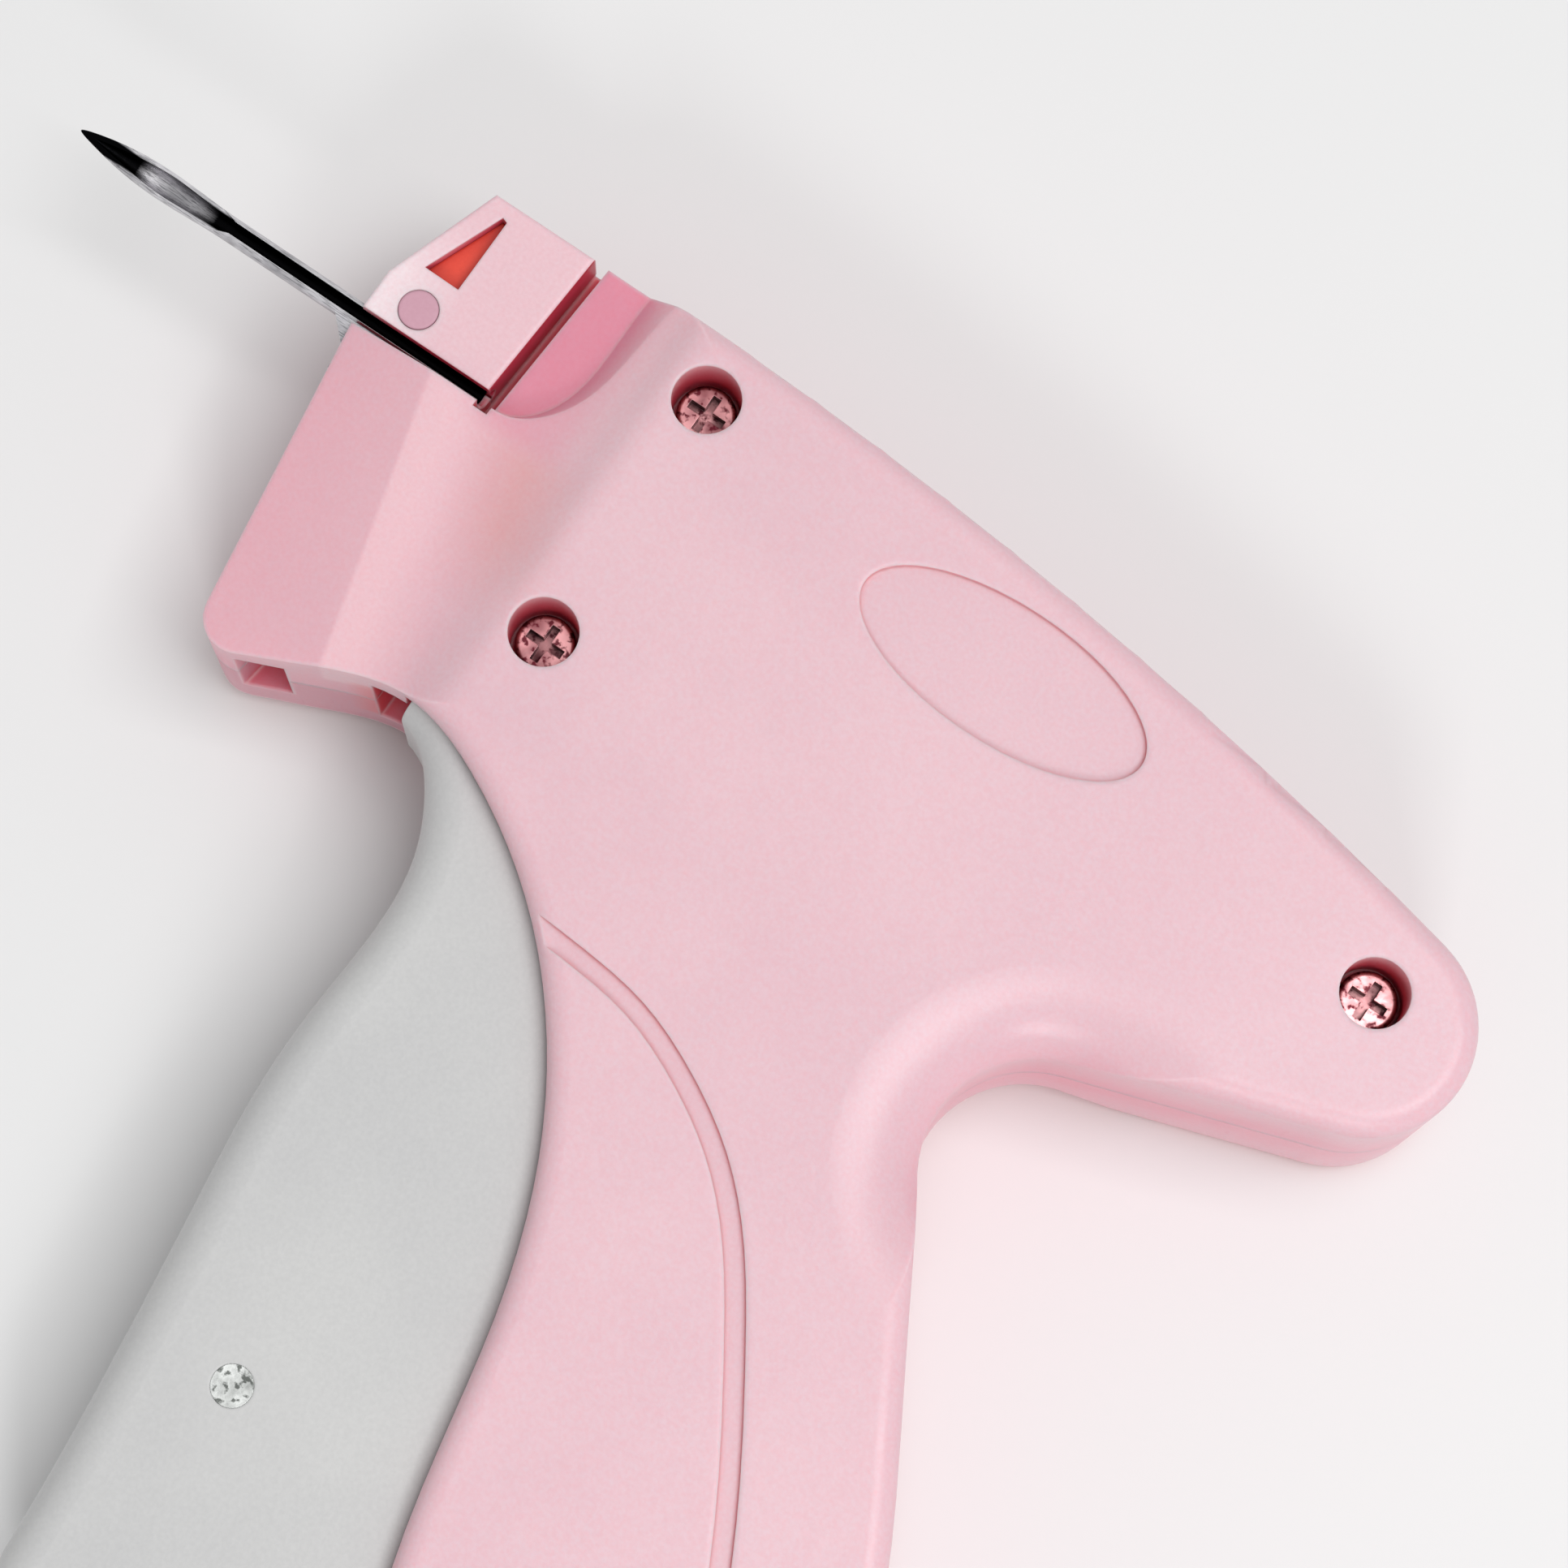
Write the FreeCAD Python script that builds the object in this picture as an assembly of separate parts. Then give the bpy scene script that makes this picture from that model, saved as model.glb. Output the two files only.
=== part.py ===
"""Garment tag attacher (tagging gun): housing, needle, trigger and drive linkage.

Gun coordinates, in millimetres, are used for all modelling:
  x runs back from the nose along the needle, y runs up (handle towards -y),
  z runs from the parting plane of the housing towards the left side.
Every piece is moved to the part frame when it is written: the tool lies on its
right side, +Z up, and the origin is under the middle of its bounding box.
"""
import FreeCAD, Part
import os
from math import acos, asin, atan2, cos, degrees, pi, radians, sin, tan

V = FreeCAD.Vector
X_AXIS = V(1, 0, 0)
Z_AXIS = V(0, 0, 1)

# ---- driving dimensions -------------------------------------------------------
HALF_W = 12.0            # half thickness of the housing
WALL = 2.2               # wall of the housing
EDGE_R = 2.0             # rounding of the housing's outer edge
FIT = 0.05               # play of a pin or shaft in its hole, on the radius
GAP = 0.3                # clear space between pieces that move past each other
SEAT = 0.02              # air between a piece and the pocket that it is seated in

# nose
NOSE_X = 1.4             # front face of the nose at the needle
NOSE_LEAN = 0.156        # how far the front face goes back for each mm down
NOSE_TOP = 15.6          # top face above the needle line
NOSE_LOW = -33.3         # lower front corner, before it is rounded
BROW_Y = 4.4             # where the front face turns back towards the top
BROW_RUN = 3.8           # how far it has gone back at the top
CHEEK_FRONT_Z = 6.8      # cheek facet at the front face
CHEEK_REAR_Z = 8.7       # cheek facet at its crease
CREASE_X = 9.8           # crease at the needle line
CREASE_LEAN = 0.27       # how far the crease goes back for each mm down
BLEND_END_X = 30.0       # where the nose blend meets the flat side
RIGHT_NOSE_Z = 9.2       # right nose face, from the parting plane
RIGHT_BLEND_X0 = 24.0    # where the right side starts to rise from that face

# top, tail, crotch and handle
TOP_R = 400.0            # slow curve of the top, from the nose block to the tail
TAIL_X, TAIL_Y, TAIL_R = 108.9, -3.8, 9.8
CROTCH_X, CROTCH_Y, CROTCH_R = 93.3, -30.2, 10.2
CROTCH_SOFT_W = 7.5      # width of the soft rounding round the crotch
CROTCH_SOFT_H = 4.4      # its depth at the edge
BACK_DEG = 58.5          # slope of the handle's back where it leaves the crotch
HEEL_DEG = 71.0          # its slope at the heel
HEEL_R = 9.0             # rounding of the rear lower corner
LIP_DEG = 72.0           # slope of the handle's front edge at the lip
LIP_R = 2.6              # rounding of the handle's front lower corner
CHIN_R = 3.4             # rounding of the nose's lower front corner

# needle
NEEDLE_Z = 5.0
NEEDLE_R = 1.15
NEEDLE_BORE_R = 0.8
NEEDLE_TIP_X = -29.6
NEEDLE_END_X = 14.4
NEEDLE_SLOT_W = 1.2
SPOON_X = -12.5          # where the needle begins to open into its spoon
SPOON_R = 1.4            # radius at the widest place of the spoon
FOOT_FRONT = 2.1         # how far the foot stands out of the nose
FOOT_X1 = 12.0           # rear end of the foot, inside the nose
FOOT_Y = -5.6            # its lower edge
FOOT_T = 1.6

# slot for the filament, feed channel and nose block
SLOT_TOP = 0.45          # upper and lower side of the open slot over the needle
SLOT_LOW = -1.25
FEED_X = 15.75           # middle of the feed slot at the needle line
FEED_W = 1.5
FEED_LEAN = 0.055        # how far the feed slot goes back for each mm up
FEED_FLOOR_Z = 2.6
BLOCK_FACE_Z = 7.2       # outer face of the nose block
BLOCK_BASE_Z = 3.0       # its seat in the shell
BLOCK_EDGE_R = 0.4
LOCK_X, LOCK_Y = 5.7, 2.9
LOCK_DISC_R = 1.8
LOCK_DISC_T = 0.6
LOCK_SHAFT_R = 1.0
LOCK_ARM_L = 14.0
LOCK_ARM_T = 1.8
LOCK_ARM_R = 2.4
WINDOW_DEPTH = 1.2       # how deep the red insert lies in the window
INSERT_T = 1.6
KNIFE_T = 0.4
KNIFE_TOP_Z = 4.0

# trigger and linkage
HINGE = V(30.0, -24.0, 0)         # pivot of the trigger
LINK_PIN = V(47.3, -82.9, 0)      # joins trigger and link
FULCRUM = V(83.5, -56.2, 0)       # pivot of the lever
LEVER_PIN = V(81.5, -87.2, 0)     # joins link and lever
LEVER_BACK_DEG = 14.0    # lean of the lever's upper arm at rest
LEVER_SWING_DEG = 31.0   # whole swing of the lever
TRIGGER_HALF_W = 8.5
TRIGGER_WALL = 2.0
TRIGGER_EDGE_R = 3.6
TRIGGER_CORNER_R = 5.0
TRIGGER_REACH = 86.5     # lower end of the trigger, from its hinge
TOE_UP = 6.0             # front corner of the trigger's sole, above the lowest point of its reach
SHIN_UP = 24.5           # last bend of its front edge, above the same point
TRIGGER_TUCK = 2.8       # how far its rear edge is inside the handle at rest
EYE_R = 4.0              # round end of the trigger at its hinge
HINGE_PIN_R = 1.75
HINGE_SKIN = 1.6         # plastic left between the hinge pin's hole and the side face
LINK_PIN_R = 1.85
FULCRUM_PIN_R = 2.0
FULCRUM_SKIN = 2.4
FULCRUM_BOSS_R = 3.8
LEVER_PIN_R = 1.5
LEVER_T = 4.0
LEVER_ARM_R = 3.2        # half width of the lever's arms
LEVER_BEND = [V(80.6, -46.0, 0), V(77.6, -35.0, 0), V(77.6, -27.5, 0), V(80.6, -19.5, 0),
              V(87.5, -12.4, 0), V(94.2, -7.4, 0)]
LINK_PLATE_T = 2.0       # each of the link's two plates
LINK_PLATE_R = 3.2
LINK_HUB_R = 3.6
OPEN_PIVOT_PLAY = 0.45   # play on the radius where a closed loop is opened
DRIVE_PIN_R = 1.5

# ejector slide and rod
SLIDE_H = 6.0            # height of the slide, between its rails
SLIDE_NOSE = 4.2         # solid front of the slide, ahead of its fork
SLIDE_FORK = 7.0         # the fork's front, ahead of the drive pin
SLIDE_PIN_BACK = 4.5     # drive pin ahead of the slide's rear end
ROD_R = 0.65
ROD_TIP_X = 17.4         # tip of the rod at rest, behind the feed slot
RAIL_T = 1.4
RAIL_H = 4.0
RAIL_X0 = 42.0           # front end of the rails
BUMPER_T = 1.6

# feed wheel and pawl
WHEEL_X, WHEEL_Y = 20.9, -8.2
WHEEL_R = 4.9
WHEEL_TEETH = 12
WHEEL_TOOTH_H = 1.1
WHEEL_Z0, WHEEL_Z1 = 2.6, 5.6
WHEEL_HUB_R = 2.0
WHEEL_AXLE_R = 1.0
FEED_BOX_Z = 6.8         # half width of the pocket that holds wheel and pawl
PAWL_X, PAWL_Y = 28.8, -5.6
PAWL_TIP_X, PAWL_TIP_Y = 26.9, -9.8
PAWL_PIN_R = 0.8
AXLE_SEAT = 0.9          # depth of the holes that hold the axle and the pawl's pin
PIN_END_PLAY = 0.1       # air between the end of a pin and the bottom of its hole

# screws, in the order nose top, nose bottom, tail, heel
SCREWS = ((32.0, 9.4), (32.2, -15.6), (108.2, -1.4), (105.0, -91.0))
RECESS_R = 3.1
RECESS_DEPTH = 4.6
SCREW_HEAD_R = 2.7
SCREW_HEAD_H = 2.0
SCREW_SHANK_R = 1.4
SCREW_HOLE_R = 1.6
SCREW_END_Z = -8.0
CROSS_L, CROSS_W, CROSS_DEPTH = 3.6, 0.8, 1.1
BOSS_R = 4.0

# return spring on the fulcrum boss
SPRING_WIRE_R = 0.45     # to the flats of a turn
SPRING_LEG_R = 0.38      # straight legs, a little thinner than the coil that they leave
SPRING_COILS = 4
SPRING_PITCH = 0.85      # a little under the wire's thickness, so that the coils touch
SPRING_POST = V(85.0, -45.6, 0)   # post in the left shell for the fixed leg
SPRING_POST_R = 1.2

# label recess and grip groove
LABEL_X, LABEL_Y = 66.7, 3.8
LABEL_A, LABEL_B = 14.3, 6.1
LABEL_DEPTH = 0.5
GROOVE_W = 1.8
GROOVE_DEPTH = 0.5

# part frame: the middle of the bounding box in gun coordinates
X_MID = 44.743
Y_MID = -46.799

FAR = 40.0               # reach of a cutter past the model


# ---- helpers --------------------------------------------------------------------
def at(x, y, z=0.0):
    return V(x, y, z)


def heading(angle_deg):
    return V(cos(radians(angle_deg)), sin(radians(angle_deg)), 0)


def polar(centre, radius, angle):
    return V(centre.x + radius * cos(angle), centre.y + radius * sin(angle), centre.z)


def line(p, q):
    return Part.makeLine(p, q)


def arc(p, middle, q):
    return Part.Arc(p, middle, q).toShape()


def spline(points, start=None, end=None):
    curve = Part.BSplineCurve()
    if start is None:
        curve.interpolate(points)
    else:
        curve.interpolate(Points=points, InitialTangent=start, FinalTangent=end)
    return curve.toShape()


def prism(edges, z0, z1):
    """Solid between two heights over a closed loop of edges that lies at z = 0."""
    face = Part.Face(Part.Wire(Part.__sortEdges__(edges)))
    face.translate(V(0, 0, z0))
    return face.extrude(V(0, 0, z1 - z0))


def polygon(points, z0, z1):
    corners = [at(x, y) for x, y in points]
    loop = [line(p, q) for p, q in zip(corners, corners[1:] + corners[:1])]
    return prism(loop, z0, z1)


def disc(centre, radius, z0, z1):
    return Part.makeCylinder(radius, z1 - z0, at(centre.x, centre.y, z0))


def box(x0, x1, y0, y1, z0, z1):
    return Part.makeBox(x1 - x0, y1 - y0, z1 - z0, at(x0, y0, z0))


def capsule(p, q, radius, z0, z1):
    """Bar with round ends over the line from p to q."""
    along = (q - p).normalize()
    side = V(-along.y, along.x, 0) * radius
    loop = [
        line(p + side, q + side),
        arc(q + side, q + along * radius, q - side),
        line(q - side, p - side),
        arc(p - side, p - along * radius, p + side),
    ]
    return prism(loop, z0, z1)


def rod(x0, x1, y, z, radius):
    """Round bar along the needle direction."""
    return Part.makeCylinder(radius, x1 - x0, at(x0, y, z), X_AXIS)


def flipped(shape):
    """The shape mirrored through the parting plane."""
    return shape.mirror(V(0, 0, 0), Z_AXIS)


def fuse_all(first, *others):
    return first.multiFuse(list(others)).removeSplitter()


def cut_all(shape, *cutters):
    for cutter in cutters:
        shape = shape.cut(cutter)
    return shape


def rounded_corner(vertex, arriving, leaving, radius):
    """Start, middle and end of the arc that rounds a corner between two headings."""
    half_turn = arriving.getAngle(leaving) / 2
    reach = radius * tan(half_turn)
    inward = (leaving - arriving).normalize()
    middle = vertex + inward * (radius / cos(half_turn) - radius)
    return vertex - arriving * reach, middle, vertex + leaving * reach


def circles_meet(c1, r1, c2, r2):
    """Meeting point of two circles, to the left of the way from the first to the second."""
    span = c2 - c1
    along = (span.Length ** 2 + r1 ** 2 - r2 ** 2) / (2 * span.Length)
    across = (r1 ** 2 - along ** 2) ** 0.5
    way = V(span).normalize()
    return c1 + way * along + V(-way.y, way.x, 0) * across


def shifted(points, dx, dy=0.0):
    return [p + V(dx, dy, 0) for p in points]


def beside(points, distance):
    """Points at a set distance to the left of a line of points."""
    moved = []
    for i, p in enumerate(points):
        before = points[max(i - 1, 0)]
        after = points[min(i + 1, len(points) - 1)]
        way = (after - before).normalize()
        moved.append(p + V(-way.y, way.x, 0) * distance)
    return moved


# ---- side outline of the housing ------------------------------------------------------
# lower edge of the nose and front edge of the handle
FRONT_EDGE = [
    at(16.7, -28.9), at(21.6, -27.0), at(27.0, -26.6), at(33.8, -28.8), at(45.1, -36.2),
    at(51.1, -42.5), at(56.8, -51.2), at(62.0, -64.9), at(65.0, -79.2), at(68.2, -91.0),
]
LIP = at(72.9, -103.4)
HEEL = at(116.4, -101.0)
HANDLE_BACK = [at(93.1, -50.2), at(100.9, -64.1), at(107.6, -79.0)]
BASE_MIDDLE = at(93.0, -103.9)
TOP_START = at(20.0, NOSE_TOP - 0.15)
LIP_ARC = rounded_corner(LIP, heading(176), heading(180 - LIP_DEG), LIP_R)
TAIL = at(TAIL_X, TAIL_Y)
CROTCH = at(CROTCH_X, CROTCH_Y)


def tail_tangent():
    """Line that touches the tail arc from below and the crotch arc from above."""
    span = CROTCH - TAIL
    slope = atan2(span.y, span.x) - asin((TAIL_R + CROTCH_R) / span.Length)
    return polar(TAIL, TAIL_R, slope + pi / 2), polar(CROTCH, CROTCH_R, slope - pi / 2)


def housing_outline():
    """Closed loop of edges, clockwise, tangent all round but for the front of the nose."""
    nose_foot = at(NOSE_X, SLOT_LOW)
    brow = at(NOSE_X, BROW_Y)
    forehead = at(NOSE_X + BROW_RUN, NOSE_TOP)
    top_centre = circles_meet(TAIL, TOP_R - TAIL_R, TOP_START, TOP_R)
    top_end = TAIL + (TAIL - top_centre).normalize() * TAIL_R
    top_middle = top_centre + (TOP_START + top_end - top_centre * 2).normalize() * TOP_R
    on_tail, on_crotch = tail_tangent()
    tail_middle = TAIL + ((top_end + on_tail) / 2 - TAIL).normalize() * TAIL_R
    back_start = polar(CROTCH, CROTCH_R, radians(270 - BACK_DEG))
    crotch_middle = CROTCH + ((on_crotch + back_start) / 2 - CROTCH).normalize() * CROTCH_R

    down_back = heading(-HEEL_DEG)
    heel = rounded_corner(HEEL, down_back, heading(196), HEEL_R)
    chin_in = heading(203)
    chin_out = heading(90 + degrees(atan2(NOSE_LEAN, 1)))
    nose_corner = at(NOSE_X + NOSE_LEAN * (SLOT_LOW - NOSE_LOW), NOSE_LOW)
    chin = rounded_corner(nose_corner, chin_in, chin_out, CHIN_R)

    return [
        line(nose_foot, brow),
        line(brow, forehead),
        line(forehead, TOP_START),
        arc(TOP_START, top_middle, top_end),
        arc(top_end, tail_middle, on_tail),
        line(on_tail, on_crotch),
        arc(on_crotch, crotch_middle, back_start),
        spline([back_start] + HANDLE_BACK + [heel[0]], heading(-BACK_DEG), down_back),
        arc(*heel),
        spline([heel[2], BASE_MIDDLE, LIP_ARC[0]], heading(196), heading(176)),
        arc(*LIP_ARC),
        spline([LIP_ARC[2]] + FRONT_EDGE[::-1] + [chin[0]], heading(180 - LIP_DEG), chin_in),
        arc(*chin),
        line(chin[2], nose_foot),
    ]


# ---- housing ------------------------------------------------------------------------
def soft_crotch():
    """Ring cutter that rounds the side faces broadly round the crotch."""
    outer = CROTCH_R + CROTCH_SOFT_W
    rim_z = HALF_W - CROTCH_SOFT_H
    points = []
    for step in range(6):
        t = pi / 2 * step / 5
        points.append(at(outer - CROTCH_SOFT_W * sin(t), 0, rim_z + CROTCH_SOFT_H * cos(t)))
    corners = [points[-1], at(CROTCH_R - 2, 0, rim_z), at(CROTCH_R - 2, 0, HALF_W + 1),
               at(outer, 0, HALF_W + 1), points[0]]
    loop = [line(p, q) for p, q in zip(corners, corners[1:])]
    loop.append(spline(points, V(-1, 0, 0) * 4, V(0, 0, -1) * 4))
    face = Part.Face(Part.Wire(Part.__sortEdges__(loop)))
    ring = face.revolve(V(0, 0, 0), Z_AXIS, 360)
    ring.translate(CROTCH)
    return ring


def nose_profile(y, front_x, front_z, crease_x, crease_z, rise_x, end_x):
    """Section of the cutter that brings the nose in from the flat side."""
    slope = (crease_z - front_z) / (crease_x - front_x)
    start = at(-8, y, front_z - slope * (front_x + 8))
    crease = at(crease_x, y, crease_z)
    drop = HALF_W - crease_z
    blend = [
        crease,
        at(rise_x, y, crease_z + 0.12 * drop),
        at((rise_x + end_x) / 2, y, crease_z + 0.60 * drop),
        at(end_x, y, HALF_W),
    ]
    loop = [
        line(start, crease),
        spline(blend, V(1, 0, slope * 0.2) * 6, X_AXIS * 5),
        line(blend[-1], at(end_x, y, HALF_W + 6)),
        line(at(end_x, y, HALF_W + 6), at(-8, y, HALF_W + 6)),
        line(at(-8, y, HALF_W + 6), start),
    ]
    return Part.Wire(Part.__sortEdges__(loop))


def left_nose_cutter():
    """Leaning cheek, crease and blend of the nose's left side."""
    sections = []
    for y in (NOSE_TOP + 2, NOSE_LOW - 3):
        front_x = NOSE_X - NOSE_LEAN * y
        crease_x = CREASE_X - CREASE_LEAN * y
        sections.append(nose_profile(y, front_x, CHEEK_FRONT_Z, crease_x, CHEEK_REAR_Z,
                                     BLEND_END_X - 7, BLEND_END_X))
    return Part.makeLoft(sections, True, True)


def right_nose_cutter():
    """Flat step of the nose's right side, that the lock arm lies on."""
    sections = []
    for y in (NOSE_TOP + 2, NOSE_LOW - 3):
        sections.append(nose_profile(y, 0, RIGHT_NOSE_Z, 18, RIGHT_NOSE_Z,
                                     RIGHT_BLEND_X0, RIGHT_BLEND_X0 + 8))
    return Part.makeLoft(sections, True, True)


def rounded_half():
    """Half housing from the parting plane to the flat side, its rim rounded."""
    body = prism(housing_outline(), 0, HALF_W)
    rim = [e for e in body.Edges if e.BoundBox.ZMin > HALF_W - 0.01]
    return body.makeFillet(EDGE_R, rim).cut(soft_crotch())


def grip_groove():
    """Shallow band that sets off the grip panel of the handle."""
    centre = [
        at(43.0, -36.6), at(52.4, -37.3), at(57.0, -38.0), at(63.4, -40.4), at(70.2, -44.6),
        at(75.2, -49.6), at(80.2, -56.6), at(86.2, -66.2), at(92.4, -78.4), at(97.0, -91.0),
        at(99.0, -108.0),
    ]
    upper = beside(centre, GROOVE_W / 2)
    lower = beside(centre, -GROOVE_W / 2)
    loop = [
        spline(upper), line(upper[-1], lower[-1]), spline(lower), line(lower[0], upper[0]),
    ]
    return prism(loop, HALF_W - GROOVE_DEPTH, HALF_W + 1)


def inset(edges, distance):
    """Chain of edges moved to the right of their way: lines, arcs and splines stay what they are."""
    moved = []
    joint = None
    for edge in edges:
        kind = type(edge.Curve).__name__
        steps = {"Line": 1, "Circle": 2}.get(kind, 16)
        points = []
        for i in range(steps + 1):
            where = edge.FirstParameter
            where += (edge.LastParameter - edge.FirstParameter) * i / steps
            way = edge.tangentAt(where)
            points.append(edge.valueAt(where) + V(way.y, -way.x, 0) * distance)
        if joint:
            points[0] = joint
        joint = points[-1]
        moved.append({"Line": line, "Circle": arc}[kind](*points) if steps < 3 else spline(points))
    return moved


def main_cavity():
    """Hollow of one half, with a wall all round; the nose ahead of it stays solid."""
    chain = inset(housing_outline()[3:-2], WALL)
    first = chain[0].valueAt(chain[0].FirstParameter)
    last = chain[-1].valueAt(chain[-1].LastParameter)
    hollow = prism(chain + [line(last, first)], 0, HALF_W - WALL)
    behind_nose = polygon([(27.5, FAR), (27.5, -18), (36, -24), (40, -33), (40, -3 * FAR),
                           (3.5 * FAR, -3 * FAR), (3.5 * FAR, FAR)], -1, HALF_W)
    return hollow.common(behind_nose)


def trigger_mouth():
    """Opening between the halves at the front of the handle, for the trigger's swing."""
    half = TRIGGER_HALF_W + GAP
    wall_x = HINGE.x - EYE_R - 0.9
    roof_y = HINGE.y + EYE_R + GAP
    rear = shifted(FRONT_EDGE[4:], WALL + 3, 1.5)
    reach_y = HINGE.y - TRIGGER_REACH
    corners = [
        rear[-1], at(88, reach_y + 6.5), at(55, reach_y - 1.5), at(wall_x, HINGE.y - 8),
        at(wall_x, HINGE.y - 3),
        at(wall_x + 0.8, roof_y - 0.3), at(HINGE.x + 3, roof_y + 0.5), at(HINGE.x + 8, HINGE.y),
    ]
    loop = [line(p, q) for p, q in zip(corners, corners[1:])]
    loop.append(spline([corners[-1]] + rear))
    return prism(loop, -1, half).common(disc(HINGE, TRIGGER_REACH + GAP, -1, half))


def feed_box():
    """Pocket for the feed wheel and its pawl."""
    wheel_room = disc(at(WHEEL_X, WHEEL_Y), WHEEL_R + 0.4, 0, FEED_BOX_Z)
    return fuse_all(wheel_room, box(WHEEL_X, 33, -13.5, -2.4, 0, FEED_BOX_Z))


def feed_channel():
    """Way of the clip's spine from the needle line down to the underside of the nose."""
    return polygon([(14.7, -1.0), (17.1, -1.0), (13.7, -37), (9.4, -37)], 0, 5.0)


def feed_slot():
    """Leaning slot that the clip of fasteners is pushed into from the top."""
    half = FEED_W / 2
    low, high = SLOT_LOW - 0.6, NOSE_TOP + 4
    middle_low = FEED_X + FEED_LEAN * low
    middle_high = FEED_X + FEED_LEAN * high
    return polygon([(middle_low - half, low), (middle_low + half, low),
                    (middle_high + half, high), (middle_high - half, high)],
                   FEED_FLOOR_Z, HALF_W + 1)


def scoop():
    """Hollow beside the feed slot that gives room for the hanging fasteners."""
    floor_z = BLOCK_FACE_Z - 0.2
    rim_z = HALF_W + 0.5
    left = FEED_X - 1.2
    floor = [at(left, SLOT_LOW + 0.9, floor_z), at(18.4, -0.2, floor_z), at(20.6, 2.4, floor_z),
             at(21.8, 8.0, floor_z), at(23.2, 20.0, floor_z)]
    rim = [at(left, SLOT_LOW, rim_z), at(19.0, SLOT_LOW - 0.6, rim_z), at(23.4, 0.4, rim_z),
           at(26.4, 7.6, rim_z), at(29.2, 20.0, rim_z)]
    wires = []
    for points in (floor, rim):
        corner = at(left, 20.0, points[0].z)
        loop = [spline(points), line(points[-1], corner), line(corner, points[0])]
        wires.append(Part.Wire(Part.__sortEdges__(loop)))
    return Part.makeLoft(wires, True, True)


def block_outline():
    """Corners of the nose block, from the lower front corner round."""
    half = FEED_W / 2
    low = FEED_X + FEED_LEAN * SLOT_TOP - half
    high = FEED_X + FEED_LEAN * NOSE_TOP - half
    return [(NOSE_X, SLOT_TOP), (NOSE_X, BROW_Y), (NOSE_X + BROW_RUN, NOSE_TOP),
            (high, NOSE_TOP), (low, SLOT_TOP)]


def block_seat():
    """Room of the nose block and everything outside it, above the needle slot."""
    low_x = FEED_X + FEED_LEAN * SLOT_TOP
    high_x = FEED_X + FEED_LEAN * (NOSE_TOP + 4)
    return polygon([(-10, SLOT_TOP), (-10, NOSE_TOP + 4), (high_x, NOSE_TOP + 4),
                    (low_x, SLOT_TOP)], BLOCK_BASE_Z, HALF_W + 1)


def needle_way():
    """Groove of the needle and the open slot over it."""
    groove = rod(-5, NEEDLE_END_X + SEAT, 0, NEEDLE_Z, NEEDLE_R + SEAT)
    slot = box(-5, FEED_X, SLOT_LOW, SLOT_TOP, NEEDLE_Z, HALF_W + 1)
    return groove.fuse(slot)


def foot_pocket():
    """Pocket that holds the needle's foot."""
    half = FOOT_T / 2 + SEAT
    return box(-5, FOOT_X1 + SEAT, FOOT_Y - SEAT, -0.5, NEEDLE_Z - half, NEEDLE_Z + half)


def knife_box(grow=0.0):
    """The knife's blade behind the feed slot, or its pocket when grown by the seat."""
    x0 = FEED_X + FEED_W / 2 + 0.1
    return box(x0 - grow, x0 + KNIFE_T + grow, -1.1 - grow, 3.4 + grow, -0.6 - grow,
               KNIFE_TOP_Z + grow)


def rails():
    """Ribs above and below the slide over its whole way, closed behind the bumper."""
    x1 = slide_rear_x() + BUMPER_T + 0.12
    low = SLIDE_H / 2 + FIT
    z0 = HALF_W - WALL - RAIL_H
    z1 = HALF_W - WALL + 0.5
    ribs = [box(RAIL_X0, x1 + 1, y, y + RAIL_T, z0, z1) for y in (low, -low - RAIL_T)]
    ribs.append(box(x1, x1 + 1.2, -low - RAIL_T, low + RAIL_T, z0, z1))
    return ribs


def toe_hole():
    """Hole in the underside of the nose, in front of the trigger's toe."""
    corner_r = 1.9
    x0, x1 = 21.7, 27.0
    y0, corner_y, y1 = -31.0, -23.4, -21.5
    corner_x = x0 + corner_r
    return fuse_all(box(corner_x, x1, y0, y1, -1, 6), disc(at(corner_x, corner_y), corner_r, -1, 6),
                    box(x0, corner_x + 0.1, y0, corner_y, -1, 6))


def hollowed(body):
    """Outer half made hollow, with its ribs, bosses and pivot holes."""
    shell = cut_all(body, main_cavity(), feed_box(), feed_channel())
    ceiling = HALF_W - WALL + 0.5
    posts = [disc(at(x, y), BOSS_R, 0, ceiling) for x, y in SCREWS]
    posts.append(disc(FULCRUM, FULCRUM_BOSS_R, LEVER_T / 2 + GAP, ceiling))
    inside = fuse_all(shell, *posts, *rails())
    opened = cut_all(inside, trigger_mouth())
    return cut_all(
        opened,
        toe_hole(),
        disc(HINGE, HINGE_PIN_R + FIT, -1, HALF_W - HINGE_SKIN),
        disc(FULCRUM, FULCRUM_PIN_R + FIT, -1, HALF_W - FULCRUM_SKIN),
        disc(at(WHEEL_X, WHEEL_Y), WHEEL_AXLE_R + FIT, -1, FEED_BOX_Z + AXLE_SEAT),
        disc(at(PAWL_X, PAWL_Y), PAWL_PIN_R + FIT, -1, FEED_BOX_Z + AXLE_SEAT),
    )


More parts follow.
